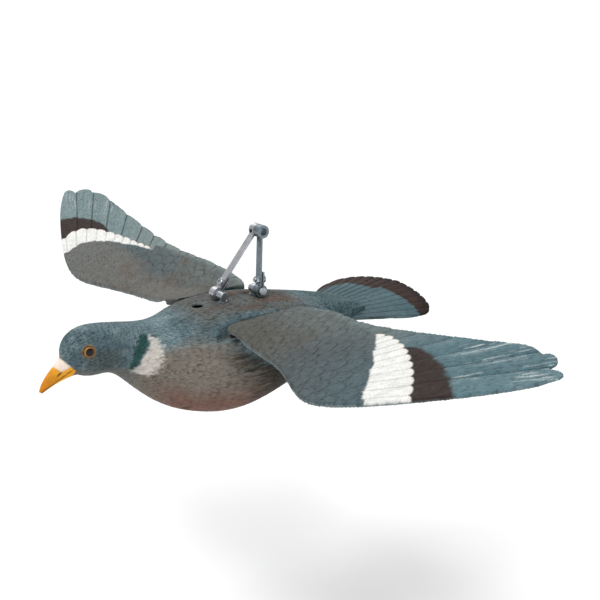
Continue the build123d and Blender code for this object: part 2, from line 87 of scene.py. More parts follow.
# trailing edge and tips of a wing as seen from the fan point: angle in degrees, distance
WING_RIM = np.array((
    (21.2, 304.6), (21.5, 306.3), (23.5, 293.3), (24.7, 297.8), (26.9, 287.0), (28.3, 281.4), (30.8, 265.5),
    (38.5, 217.0), (51.0, 175.0), (63.4, 156.5), (76.3, 152.3), (89.3, 154.0), (97.5, 150.0),
))
COVERT_LENGTH = 0.082      # a covert's length as a share of its distance from the fan point
COVERT_ANGLE = 5.2         # its width, in degrees
GREAT_ANGLE = 2.9          # width of a greater covert, in degrees
TAIL_ANGLE = 4.7           # width of a tail feather, in degrees
# angles where one long feather of a wing meets the next
PRIMARY_EDGES = np.array((14.0, 23.5, 27.2, 31.4, 36.6, 42.5, 48.0, 54.2, 61.7, 69.8, 79.6, 90.0, 101.0))
# edges of the white and brown bands, which were painted by hand and differ between the wings (-1 is the left)
WHITE_INNER = {
    -1: np.array(((19.3, 186.0), (23.6, 179.0), (31.5, 173.0), (40.8, 168.0), (49.0, 166.0))),
    1: np.array(((20.1, 183.0), (21.8, 188.0), (24.2, 191.0), (29.0, 188.0), (34.3, 179.0), (39.3, 171.0),
                 (44.9, 163.0), (50.0, 156.0))),
}
WHITE_OUTER = {
    -1: np.array(((18.9, 219.0), (23.9, 211.0), (33.7, 196.0), (38.3, 189.0), (45.2, 177.0), (50.0, 165.0))),
    1: np.array(((19.9, 210.0), (22.1, 217.0), (24.8, 217.0), (28.7, 209.0), (31.7, 200.0), (36.3, 187.0),
                 (42.5, 171.0), (49.3, 159.0))),
}
BROWN_OUTER = {
    -1: np.array(((19.2, 248.0), (22.5, 239.0), (27.7, 226.0), (33.0, 211.0), (36.1, 202.0), (39.0, 187.0))),
    1: np.array(((20.6, 249.0), (23.3, 244.0), (26.8, 232.0), (29.6, 221.0), (31.8, 206.0), (34.0, 190.0))),
}
# outline of the tail: x, half width
TAIL_SIDE = np.array(((58.0, 30.0), (76.0, 38.0), (96.0, 52.0), (112.0, 62.0), (129.0, 65.0), (144.0, 43.0),
                      (151.0, 0.0)))


# ---------------------------------------------------------------- numbers
def rgb(r, g, b):
    """Screen colour 0 to 255 as linear light."""
    v = np.array((r, g, b), float) / 255.0
    return np.where(v <= 0.04045, v / 12.92, ((v + 0.055) / 1.055) ** 2.4)


def chance(*keys):
    """Repeatable value from 0 to 1 for each set of keys."""
    total = 0.0
    for k, factor in zip(keys, (127.1, 311.7, 74.7, 53.3)):
        total = total + np.asarray(k, float) * factor
    v = np.sin(total) * 43758.5453
    return v - np.floor(v)


def noise(p, size, seed):
    """Smooth noise from 0 to 1 with features of the given size; p is (n, 3) and size a number or three."""
    q = p / np.asarray(size, float)
    cell = np.floor(q)
    f = q - cell
    f = f * f * (3 - 2 * f)
    out = 0.0
    for dx in (0, 1):
        for dy in (0, 1):
            for dz in (0, 1):
                weight = (abs(1 - dx - f[:, 0])) * (abs(1 - dy - f[:, 1])) * (abs(1 - dz - f[:, 2]))
                out = out + weight * chance(cell[:, 0] + dx, cell[:, 1] + dy, cell[:, 2] + dz, seed)
    return out


def step(low, high, v):
    """Smooth step from 0 at low to 1 at high."""
    t = np.clip((v - low) / (high - low), 0, 1)
    return t * t * (3 - 2 * t)


def curve(table, v):
    """Second column of a table read at first-column values v."""
    return np.interp(v, table[:, 0], table[:, 1])


def mix(a, b, t):
    """Colours a and b mixed by t, one value per point."""
    return a * (1 - t)[:, None] + b * t[:, None]


def feathers(s, t, depth, seed):
    """Overlapping rows of rounded feathers, one unit long and wide, tips towards +s.

    Gives height 0 to 1 (highest at each tip), distance behind the tip, distance past the tip in front,
    the place across the feather from -1 to 1, and a repeatable value per feather.
    """
    row0 = np.floor(s)
    behind = np.full_like(s, 9.0)
    past = np.full_like(s, 9.0)
    across = np.zeros_like(s)
    value = np.zeros_like(s)
    found = np.zeros(s.shape, bool)
    last_tip = np.full_like(s, -9.0)
    for k in range(-2, 3):
        row = row0 + k
        shifted = t + 0.5 * np.mod(row, 2) + 0.15 * chance(row, seed)
        column = np.floor(shifted)
        c = (shifted - column) * 2 - 1
        c = c + 0.25 * (chance(row, column, seed + 1) - 0.5) * (1 - c * c)
        tip = row + 1 + 0.3 * (chance(row, column, seed + 2) - 0.5)
        tip = tip + depth * (np.sqrt(np.clip(1 - 0.98 * c * c, 0, 1)) - 1)
        here = (s < tip) & ~found
        behind[here] = (tip - s)[here]
        past[here] = (s - last_tip)[here]
        across[here] = c[here]
        value[here] = chance(row, column, seed + 3)[here]
        found |= here
        last_tip = np.maximum(last_tip, np.where(tip <= s, tip, -9.0))
    height = np.clip(1 - behind / (1 + depth), 0, 1)
    return height, behind, np.clip(past, 0, 9), across, value


# ---------------------------------------------------------------- materials
def material(name):
    m = bpy.data.materials.new(name)
    m.use_nodes = True
    tree = m.node_tree
    bsdf = tree.nodes["Principled BSDF"]
    coords = tree.nodes.new("ShaderNodeTexCoord")
    return m, tree, bsdf, coords.outputs["Object"]


def link(tree, a, b):
    tree.links.new(a, b)


def noise_node(tree, where, scale, detail=4.0, stretch=None):
    if stretch:
        mapping = tree.nodes.new("ShaderNodeMapping")
        mapping.inputs["Scale"].default_value = stretch
        link(tree, where, mapping.inputs["Vector"])
        where = mapping.outputs["Vector"]
    n = tree.nodes.new("ShaderNodeTexNoise")
    n.inputs["Scale"].default_value = scale
    n.inputs["Detail"].default_value = detail
    link(tree, where, n.inputs["Vector"])
    return n.outputs["Fac"]


def ranged(tree, value, low, high, new_low, new_high):
    n = tree.nodes.new("ShaderNodeMapRange")
    for key, v in (("From Min", low), ("From Max", high), ("To Min", new_low), ("To Max", new_high)):
        n.inputs[key].default_value = v
    link(tree, value, n.inputs["Value"])
    return n.outputs["Result"]


def maths(tree, kind, a, b):
    n = tree.nodes.new("ShaderNodeMath")
    n.operation = kind
    for socket, v in zip(n.inputs, (a, b)):
        if isinstance(v, (int, float)):
            socket.default_value = v
        elif v is not None:
            link(tree, v, socket)
    return n.outputs[0]


def attribute(tree, name, output="Fac"):
    n = tree.nodes.new("ShaderNodeAttribute")
    n.attribute_name = name
    return n.outputs[output]


def times(tree, colour, factor):
    n = tree.nodes.new("ShaderNodeVectorMath")
    n.operation = "SCALE"
    link(tree, colour, n.inputs[0])
    link(tree, factor, n.inputs["Scale"])
    return n.outputs[0]


def bump(tree, bsdf, height, strength, distance, under=None):
    n = tree.nodes.new("ShaderNodeBump")
    n.inputs["Strength"].default_value = strength
    n.inputs["Distance"].default_value = distance
    link(tree, height, n.inputs["Height"])
    if under is not None:
        link(tree, under, n.inputs["Normal"])
    link(tree, n.outputs["Normal"], bsdf.inputs["Normal"])
    return n.outputs["Normal"]


def painted(name, roughness, barbs, stroke):
    """Matt hand-painted plastic: painted colour with brush strokes along the feathers, barbs and speckle."""
    m, tree, bsdf, where = material(name)
    paint = attribute(tree, "paint", "Color")
    flow = attribute(tree, "flow", "Vector")
    strokes = noise_node(tree, flow, 1.0, 3.0, (0.24, 1.05, 1.0))
    ticks = noise_node(tree, flow, 1.0, 2.0, (0.55, 2.4, 1.0))
    strength = attribute(tree, "paint", "Alpha")
    dark_amount = maths(tree, "MULTIPLY", ranged(tree, strokes, 0.52, 0.62, 0.0, -stroke), strength)
    dark = maths(tree, "ADD", dark_amount, 1.0)
    pale_amount = maths(tree, "MULTIPLY", ranged(tree, ticks, 0.53, 0.66, 0.0, 0.6 * stroke), strength)
    pale = maths(tree, "ADD", pale_amount, 1.0)
    wear = ranged(tree, noise_node(tree, where, 150.0, 5.0), 0.3, 0.7, 0.9, 1.1)
    speckle = ranged(tree, noise_node(tree, where, 1600.0, 3.0), 0.35, 0.7, 0.93, 1.08)
    line = maths(tree, "SINE", maths(tree, "MULTIPLY", attribute(tree, "barb"), 2 * math.pi), None)
    lines = ranged(tree, line, -1.0, 1.0, 1 - 0.10 * barbs, 1 + 0.06 * barbs)
    worn = maths(tree, "MULTIPLY", wear, speckle)
    shade = maths(tree, "MULTIPLY", maths(tree, "MULTIPLY", dark, pale), worn)
    link(tree, times(tree, paint, maths(tree, "MULTIPLY", shade, lines)), bsdf.inputs["Base Color"])
    rough = ranged(tree, noise_node(tree, where, 260.0, 4.0), 0.3, 0.7, roughness - 0.08, roughness + 0.1)
    link(tree, rough, bsdf.inputs["Roughness"])
    bsdf.inputs["Specular IOR Level"].default_value = 0.16
    first = bump(tree, bsdf, line, 0.25 * barbs, 0.00015)
    second = bump(tree, bsdf, dark, 0.5, 0.00025, first)
    bump(tree, bsdf, noise_node(tree, where, 1300.0, 5.0), 0.25, 0.00015, second)
    return m


def metal(name, colour, roughness, stretch=(1.0, 1.0, 1.0)):
    """Plated steel with fine drawing lines, cloudy plating and small scuffs."""
    m, tree, bsdf, where = material(name)
    bsdf.inputs["Metallic"].default_value = 1.0
    base = tree.nodes.new("ShaderNodeRGB")
    base.outputs[0].default_value = (*colour, 1)
    cloud = ranged(tree, noise_node(tree, where, 240.0, 5.0), 0.3, 0.7, 0.80, 1.08)
    lines = noise_node(tree, where, 1500.0, 3.0, stretch)
    shade = maths(tree, "MULTIPLY", cloud, ranged(tree, lines, 0.3, 0.7, 0.93, 1.04))
    link(tree, times(tree, base.outputs[0], shade), bsdf.inputs["Base Color"])
    scuff = ranged(tree, noise_node(tree, where, 600.0, 6.0), 0.35, 0.75, roughness - 0.05, roughness + 0.14)
    link(tree, scuff, bsdf.inputs["Roughness"])
    bump(tree, bsdf, lines, 0.10, 0.00004)
    return m


# ---------------------------------------------------------------- meshes
def remeshed(node, name, voxel, body):
    """Even fine mesh over a CAD node, ready to carry relief and paint."""
    piece = bpy.data.objects.new(name, nodes[node].data.copy())
    bpy.context.scene.collection.objects.link(piece)
    cells = piece.modifiers.new("cells", "REMESH")
    cells.mode = "VOXEL"
    cells.voxel_size = voxel * 1.0
    cells.use_smooth_shade = True
    ease = piece.modifiers.new("ease", "SMOOTH")
    ease.iterations = 3
    ease.factor = 0.5
    graph = bpy.context.evaluated_depsgraph_get()
    mesh = bpy.data.meshes.new_from_object(piece.evaluated_get(graph))
    piece.modifiers.clear()
    piece.data = mesh
    mesh.name = name
    mesh.materials.clear()
    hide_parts(node)
    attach(piece, body)
    return piece


def points(piece):
    """Vertex places in millimetres, and unit normals."""
    mesh = piece.data
    co = np.zeros(len(mesh.vertices) * 3, np.float32)
    mesh.vertices.foreach_get("co", co)
    nr = np.zeros(len(mesh.vertices) * 3, np.float32)
    mesh.vertex_normals.foreach_get("vector", nr)
    return co.reshape(-1, 3).astype(float) * 1000, nr.reshape(-1, 3).astype(float)


def finish_piece(piece, co, paint, strokes, barb, flow, look):
    """Moves the vertices to co, stores the paint and the lines that the material draws, and sets the look."""
    mesh = piece.data
    mesh.vertices.foreach_set("co", (co / 1000).astype(np.float32).ravel())
    layer = mesh.attributes.new("paint", "FLOAT_COLOR", "POINT")
    layer.data.foreach_set("color", np.c_[np.clip(paint, 0, 1), strokes].astype(np.float32).ravel())
    layer = mesh.attributes.new("barb", "FLOAT", "POINT")
    layer.data.foreach_set("value", barb.astype(np.float32))
    layer = mesh.attributes.new("flow", "FLOAT_VECTOR", "POINT")
    layer.data.foreach_set("vector", np.c_[flow[0], flow[1], np.zeros(len(co))].astype(np.float32).ravel())
    mesh.materials.append(look)
    mesh.polygons.foreach_set("use_smooth", np.full(len(mesh.polygons), True))
    mesh.update()


# ---------------------------------------------------------------- body
BLUE = rgb(104, 125, 131)
BLUE_DARK = rgb(68, 88, 95)
BLUE_PALE = rgb(132, 150, 155)
THROAT = rgb(96, 98, 94)
BEIGE = rgb(122, 116, 107)
PINK = rgb(112, 80, 68)
# rear belly: dark paint together with painted shade from the wings above it
BELLY_REAR_DARK_AND_SHADE = rgb(34, 33, 26)
SADDLE = rgb(84, 85, 81)
RUST = rgb(94, 76, 66)
RUMP = rgb(74, 94, 99)
TAIL_BLUE = rgb(84, 107, 113)
TAIL_EDGE = rgb(30, 21, 18)
TAIL_BROWN = rgb(50, 33, 27)
TAIL_DEEP = rgb(64, 90, 96)
GREEN = rgb(14, 66, 60)
CREAM = rgb(204, 198, 190)
BILL_TIP = rgb(200, 124, 26)
BILL_ROOT = rgb(232, 164, 46)
CERE = rgb(232, 214, 200)
INSIDE = rgb(112, 116, 114)
SOCKET = rgb(84, 50, 28)
LID = rgb(150, 108, 62)
LEDGE_SHADE = rgb(22, 27, 30)
CHEEK = rgb(78, 88, 88)


def body_relief_and_paint(piece, look):
    co, nr = points(piece)
    x, y, z = co.T
    half, crown, middle, keel, square = (np.interp(x, TORSO[:, 0], TORSO[:, k]) for k in range(1, 6))
    up = z > middle
    rise = np.where(up, crown - middle, middle - keel)
    power = np.where(up, square, 2.0)
    reach = (np.abs(y) / half) ** power + (np.abs(z - middle) / rise) ** power
    away = nr[:, 1] * y / half + nr[:, 2] * (z - middle) / rise
    outside = step(0.84, 0.92, reach) * step(0.0, 0.2, away)
    angle = np.degrees(np.arctan2((z - middle) / rise, np.abs(y) / half))
    around = np.radians(angle) * (half + rise) / 2
    # full section kept right up to the seam, so that the two shells meet in a hairline
    at_seam = np.exp(-((z - curve(SEAM, x)) / 1.3) ** 2) * step(0.80, 0.86, reach) * step(-176, -172, x)
    grow = 1 + at_seam * (np.clip(reach, 0.8, 1.0) ** (-1 / power) - 1)
    lap = 0.7 * at_seam * (1 if "belly" in piece.name else -1)
    full = np.c_[x, y * grow, middle + (z - middle) * grow + lap]

    # body feathers grow from the head to the rump
    stations = np.arange(-215.0, 100.0, 1.0)
    size = 3.4 + 3.4 * step(-135, -40, stations) + 1.6 * step(10, 60, stations)
    travelled = np.cumsum(1 / size)
    s = np.interp(x, stations, travelled)
    wide = np.interp(x, stations, size) * 0.78
    wander = noise(co, 11.0, 3.0) - 0.5
    t = around / wide + 0.5 * wander + np.where(y > 0, 40.0, 0.0)
    height, _, past, across, value = feathers(s + 0.35 * (noise(co, 9.0, 7.0) - 0.5), t, 0.9, 5)
    streak = noise(co, (7.0, 1.1, 1.1), 2.0)
    fine = noise(co, (3.2, 0.9, 0.9), 8.0)

    bill_line = -171.5 - np.where(z > -80, 0.85 * (z + 80), -0.3 * (z + 80))
    bill = step(-0.6, 0.6, bill_line - x)
    clear_of_feet = np.ones_like(x)
    for foot_x in FEET_X:
        near = (1 - step(8.0, 9.5, np.abs(x - foot_x))) * (1 - step(12.5, 14.5, np.abs(y)))
        clear_of_feet *= 1 - near
    beside = np.abs(y) > 8
    eye_distance = np.hypot(x - EYE[0], z - EYE[1])
    lid = np.exp(-((eye_distance - 4.8) / 0.7) ** 2) * beside
    plain = (1 - step(6.0, 7.2, eye_distance)) * beside
    amount = 0.12 + 0.16 * step(-130, -60, x)
    relief = amount * (height - 0.55) + 0.20 * (streak - 0.5) + 0.12 * (fine - 0.5)
    relief -= 0.10 * np.exp(-past * wide / 0.8)
    relief *= (1 - bill) * clear_of_feet * (1 - plain)
    relief += 0.5 * lid
    # cere on top of the bill's root, with a nostril slit under its edge on each side
    cere = step(11.5, 9.5, bill_line - x + 0.03 * y * y) * step(-0.7, 0.7, z + 76 - 0.45 * (x + 175))
    relief += 0.45 * cere * bill
    slit_x, slit_z = x + 183.6, z + 80.6
    slit_along, slit_across = slit_x * 0.80 + slit_z * 0.60, slit_z * 0.80 - slit_x * 0.60
    slit = np.exp(-(slit_along / 2.1) ** 2 - (slit_across / 0.6) ** 2)
    slit *= bill * (np.abs(y) > 1.5)
    relief -= 0.8 * slit
    moved = full + nr * (relief * outside)[:, None]

    # paint
    edge = np.interp(x, (-171, -154, -138, -120, -100, -84, -57, -42, -25, 20, 60, 90),
                     (-43, -50, -46, -6, 24, 32, 25, 12, 2, -8, -25, -30))
    ragged = 12 * (noise(co, (8.0, 3.0, 3.0), 11.0) - 0.5) + 8 * (streak - 0.5)
    below = step(-15, 15, edge - angle + ragged) * step(86, 62, x)
    cloud = noise(co, 17.0, 4.0)
    blue = mix(BLUE, BLUE_DARK, step(0.35, 0.9, cloud) * 0.8)
    blue = mix(blue, BLUE_PALE, step(0.55, 0.9, noise(co, (9.0, 5.0, 5.0), 9.0)) * 0.45)
    cheek = step(-172, -160, x) * step(-132, -146, x) * step(16, -8, angle)
    blue = mix(blue, CHEEK, cheek * 0.8)
    blue = mix(blue, RUMP, step(18, 60, x))
    blue = mix(blue, TAIL_BLUE, step(60, 84, x) * 0.8)
    saddle = step(-88, -66, x) * step(40, 8, x) * step(44, 28, np.abs(y) + 12 * (cloud - 0.5)) * up
    blue = mix(blue, SADDLE, saddle * 0.85)
    rust = saddle * step(0.25, 0.8, noise(co, (26.0, 14.0, 14.0), 51.0)) * step(38, 18, np.abs(y + 6))
    blue = mix(blue, RUST, rust * 0.8)
    low = mix(THROAT, BEIGE, step(-140, -112, x))
    rosy = step(-6, -48, angle + 18 * (cloud - 0.5)) * step(-128, -90, x)
    low = mix(low, PINK, rosy * 0.9)
    # rear belly under the wings: darker paint there plus painted shade from the wings above it
    rear_edge_wobble = 16 * (cloud - 0.5) + 22 * (streak - 0.5)
    rear_dark_and_shade = step(-62, -18, x + rear_edge_wobble + 0.35 * np.clip(angle + 30, -40, 40))
    low = mix(low, BELLY_REAR_DARK_AND_SHADE, rear_dark_and_shade * step(78, 58, x) * 0.94)
    paint = mix(blue, low, below)
    # neck patch: a dark green crescent with a cream patch behind it
    middle_x = -125 + (angle + 3) * 0.17
    tooth = 2.4 * (noise(co, (4.0, 1.2, 1.2), 21.0) - 0.5) * 2
    slim = np.interp(angle, (-40, -22, 8, 30, 48), (0.4, 2.2, 4.4, 4.0, 1.4))
    green = step(1.2, -1.2, np.abs(x - middle_x - 0.3 * tooth) - slim + 0.5 * tooth)
    green *= step(50, 42, angle) * step(-40, -30, angle)
    cream_end = np.interp(angle, (-40, -32, -18, 2, 24, 39, 48), (-128, -120, -112, -107, -106, -110, -117))
    cream = step(slim - 1.0, slim + 2.2, x - middle_x + tooth) * step(-3.4, 3.4, cream_end - x + 1.6 * tooth)
    cream *= step(-40, -31, angle + 2 * tooth) * step(50, 41, angle)
    paint = mix(paint, CREAM, np.clip(cream * (0.66 + 0.5 * streak), 0, 1))
    paint = mix(paint, GREEN, green * (0.74 + 0.26 * fine))
    # feather edges: painted shadow just past each feather tip, hatch lines, and each feather lighter towards
    # its raised tip
    dark = np.exp(-past * wide / 0.8) * (0.30 + 0.45 * chance(np.floor(value * 97), 5)) * (1 - 0.75 * cream)
    dark *= 1 - 0.45 * below
    hatched = step(0.58, 0.82, streak) * step(0.30, 0.65, noise(co, 14.0, 31.0))
    dark = dark + 0.36 * hatched * (1 - 0.85 * cream)
    tone = 0.90 + 0.16 * height * (0.5 + value) + 0.14 * (fine - 0.5)
    paint = paint * (tone * (1 - dark))[:, None]
    # bill, cere and eyelids
    horn = mix(BILL_ROOT, BILL_TIP, step(-180, -196, x))
    horn = horn * (0.86 + 0.28 * noise(co, (5.0, 1.5, 1.5), 14.0))[:, None]
    horn = mix(horn, CERE, cere)
    horn = horn * (1 - 0.88 * np.clip(slit * 1.7, 0, 1))[:, None]
    gape = np.exp(-((z - curve(SEAM, x)) / 0.8) ** 2) * 0.35
    horn = horn * (1 - gape)[:, None]
    paint = mix(paint, horn, bill)
    ring = step(5.5, 4.7, eye_distance) * beside
    paint = mix(paint, LID, ring * 0.85)
    paint = mix(paint, SOCKET, step(4.3, 4.0, eye_distance) * beside)
    ledge = step(-58, -54, x) * step(20, 18, x) * step(38.2, 39.0, np.abs(y)) * step(-73, -71.6, z)
    ledge *= step(0.99, 0.95, reach) * step(42.0, 40.6, np.abs(y))
    paint = mix(paint, LEDGE_SHADE, ledge)
    inside = (1 - step(0.70, 0.80, reach)) * (1 - ledge)
    paint = mix(paint, INSIDE, inside * (1 - bill))
    barb = (s + 0.35 * np.abs(across)) * 4.0
    lean = np.where(up, 0.55, 0.25) * step(-110, -150, x)
    strokes = (1 - 0.6 * cream) * (1 - 0.85 * bill) * (1 - plain) * (1 - 0.3 * green) * (1 - 0.5 * below)
    finish_piece(piece, moved, paint, strokes, barb, (x + lean * around, around - lean * x), look)


# ---------------------------------------------------------------- wings
WING_ROOT = rgb(84, 84, 79)
COVERT = rgb(76, 85, 87)
COVERT_BLUE = rgb(72, 90, 96)
PRIMARY = rgb(92, 117, 124)
PRIMARY_DEEP = rgb(64, 94, 102)
PALE = rgb(190, 198, 196)
WHITE = rgb(226, 226, 223)
BROWN = rgb(44, 29, 23)
ROOT_FACE = rgb(30, 50, 58)
TRAIL_GREY = rgb(96, 106, 105)
WING_UNDER = rgb(118, 128, 131)
WARM_EDGE = rgb(226, 204, 178)
RIGHT_LONG = rgb(126, 140, 139)
RIGHT_SPOT = rgb(92, 76, 66)
RIGHT_COVERT = rgb(104, 102, 97)


def wing_relief_and_paint(piece, look, side):
    co, nr = points(piece)
    x, y, z = co.T
    out = side * y
    r = np.hypot(x - FAN[0], out - FAN[1])
    phi = np.degrees(np.arctan2(x - FAN[0], out - FAN[1]))
    top = step(-0.2, 0.35, nr[:, 2])
    under = step(-0.2, 0.35, -nr[:, 2])
    rim = curve(WING_RIM, phi)
    to_rim = rim - r
    root = step(66, 46, out)
    knuckles = (z < -60.5) & (out < 50)

    # coverts: rows of feathers that get longer and wider away from the fan point
    warp = noise(co, 22.0, 2.0) - 0.5
    s = np.log(r) / COVERT_LENGTH + 0.5 * warp
    t = phi / COVERT_ANGLE + 0.35 * (noise(co, 22.0, 6.0) - 0.5)
    height, behind, past, across, value = feathers(s, t, 0.8, 3)
    unit = r * COVERT_LENGTH
    # greater coverts: one row of longer feathers across the white band
    column = np.floor(phi / GREAT_ANGLE)
    c = (phi / GREAT_ANGLE - column) * 2 - 1
    scallop = 3.4 * (np.sqrt(np.clip(1 - 0.97 * c * c, 0, 1)) - 0.55)
    uneven = 2.0 * (chance(column, 4) - 0.5) + 1.5 * (noise(co, 2.2, 12.0) - 0.5)
    white_in = curve(WHITE_INNER[side], phi) + uneven
    white_out = curve(WHITE_OUTER[side], phi) + scallop
    in_band = step(-1.0, 1.0, r - white_in) * step(51, 48, phi)
    long_start = np.interp(phi, (48, 50, 56, 64, 72, 84), (167, 164, 158, 152, 149, 148))
    softness = np.interp(phi, (46, 56, 70), (0.8, 3.0, 7.0))
    long_zone = step(-1, 1, (r - np.where(phi < 50, white_out, long_start)) / softness)
    band = in_band * (1 - long_zone)
    brown_out = curve(BROWN_OUTER[side], phi) + 3.5 * (noise(co, 3.0, 15.0) - 0.5)
    brown = step(-2.4, 2.4, brown_out - r) * long_zone
    brown *= step(39.5, 37.0, phi + (5.0 if side > 0 else 0.0))
    # primaries and secondaries
    index = np.clip(np.searchsorted(PRIMARY_EDGES, phi) - 1, 0, len(PRIMARY_EDGES) - 2)
    low, high = PRIMARY_EDGES[index], PRIMARY_EDGES[index + 1]
    place = (phi - low) / (high - low)
    gap_low = (phi - low) * np.pi / 180 * r
    shaft = np.exp(-(((place - 0.42) * (high - low) * np.pi / 180 * r) / 0.8) ** 2)
    long_height = 0.9 * place + 0.22 * shaft - 0.8 * np.exp(-(gap_low / 0.9) ** 2)
    great_gap = (1 - np.abs(c)) * GREAT_ANGLE * np.pi / 360 * r
    great_height = 0.35 - 0.7 * np.exp(-(great_gap / 0.7) ** 2) + 0.2 * step(6, 0, white_out - r)
    cover_height = 0.85 * (height - 0.5) - 0.30 * np.exp(-past * unit / 0.8)
    relief = cover_height * (1 - in_band) * (1 - long_zone) + great_height * band
    relief = relief + (0.75 * long_height - 0.45) * long_zone
    along = noise(np.c_[r, phi * 2.6, z * 0], (9.0, 1.0, 1.0), 5.0)
    fine = noise(co, (1.8, 1.8, 1.8), 8.0)
    relief = relief * 0.62 + 0.16 * (along - 0.5) + 0.06 * (fine - 0.5)
    fade = (1 - knuckles) * step(0.5, 4.0, to_rim)
    moved = co.copy()
    moved[:, 2] += relief * (step(0.3, 0.7, nr[:, 2]) - 0.35 * step(0.3, 0.7, -nr[:, 2])) * fade
    # thin trailing edge with rounded feather tips, and a thin front corner at the root
    thin = step(13.0, 1.0, to_rim) * step(48, 60, out) * under
    moved[:, 2] += thin * (1.7 - 0.7 * step(150, 300, out))
    moved[:, 2] += 3.2 * step(-46, -60, x) * step(72, 56, out) * under * (1 - knuckles)
    deep = (4.0 if side > 0 else 2.6) * step(75, 30, phi) + 1.4
    notch = deep * np.abs(place * 2 - 1) ** 3 * step(12.0, 0.0, to_rim)
    notch *= step(50, 75, out) * step(26, 32, phi)
    moved[:, 0] -= notch * np.sin(np.radians(phi))
    moved[:, 1] -= side * notch * np.cos(np.radians(phi))

    # paint
    cloud = noise(co, 26.0, 4.0)
    base = mix(WING_ROOT, COVERT, step(75, 150, out + 40 * (cloud - 0.5)))
    base = mix(base, COVERT_BLUE, step(140, 215, out + 30 * (cloud - 0.5)) * 0.8)
    base = mix(base, TRAIL_GREY, step(-38, -8, x + 14 * (cloud - 0.5)) * 0.55)
    # each covert lighter towards its raised tip; painted shadow just past each covert's tip, and a slight
    # darkening along each tip
    tone = 0.92 + 0.14 * height * (0.5 + value) + 0.10 * (along - 0.5)
    dark = np.exp(-past * unit / 0.9) * (0.62 + 0.36 * value) * step(66, 118, r)
    dark *= 0.35 + 0.9 * noise(co, (16.0, 16.0, 16.0), 71.0)
    dark = np.clip(dark, 0, 0.95)
    dark = dark + 0.16 * np.exp(-behind * unit / 1.4)
    base = base * (tone * (1 - dark))[:, None]
    long = mix(PRIMARY_DEEP, PRIMARY, np.clip(0.2 + 0.8 * place + 0.5 * (cloud - 0.5), 0, 1))
    long = mix(long, TRAIL_GREY, step(33, 50, phi) * 0.85)
    scratch = step(0.58, 0.72, noise(np.c_[r, phi * 4.2, z * 0], (11.0, 0.9, 1.0), 25.0))
    near_edge = step(4.0, 1.2, gap_low - 1.2) + step(0.52, 0.9, place) * 0.55 + step(26, 4, to_rim) * 0.6
    scratch *= np.clip(near_edge, 0, 1) * step(0.30, 0.6, noise(co, 12.0, 41.0))
    scratch *= np.maximum(step(232, 252, r + 0.6 * (phi - 19) * 2), 0.55 * step(44, 54, phi))
    long = mix(long, PALE, np.clip(scratch, 0, 1) * 0.8)
    long = mix(long, BROWN, brown * (0.93 + 0.07 * fine))
    if side > 0:
        base = mix(base, RIGHT_COVERT, step(-28, -44, x + 12 * (cloud - 0.5)) * 0.75)
        spots = step(0.62, 0.8, noise(co, (9.0, 7.0, 7.0), 61.0)) * step(70, 110, out) * step(190, 160, out)
        base = mix(base, RIGHT_SPOT, spots * 0.4)
        long = mix(long, RIGHT_LONG, (1 - brown) * 0.6)
    long = long * (1 - 0.86 * np.exp(-(gap_low / 1.0) ** 2) - 0.14 * shaft)[:, None]
    lines = 1 - 0.50 * np.exp(-(great_gap / 0.55) ** 2) * (0.3 + 0.7 * chance(column, 9)) - 0.12 * (1 - along)
    white = WHITE * lines[:, None]
    white = mix(white, WARM_EDGE, step(3, 0, white_out - r) * 0.35)
    paint = mix(base, white, band)
    paint = mix(paint, long, long_zone)
    rootface = step(0.35, 0.7, np.abs(nr[:, 1])) * step(47.5, 44.5, out + 0.25 * np.clip(x + 44, -30, 0) * -1)
    rootface *= step(6, -8, x)
    paint = mix(paint, ROOT_FACE, np.clip(rootface + root * under * 0.8, 0, 1))
    # underside: its own paler paint, with half the painted shadow past each tip
    bottom = WING_UNDER * (tone * (1 - 0.5 * dark))[:, None]
    bottom = mix(bottom, long, long_zone * 0.6)
    paint = mix(paint, bottom, under * step(44, 60, out))
    barb = np.where(long_zone > 0.5, r / 1.35 + np.abs(place - 0.42) * 6, s * 6 + np.abs(across) * 2)
    strokes = (1 - 0.75 * band * top) * (1 - 0.55 * brown) * (1 - 0.25 * long_zone)
    finish_piece(piece, moved, paint, strokes, barb, (r, np.radians(phi) * 150), look)


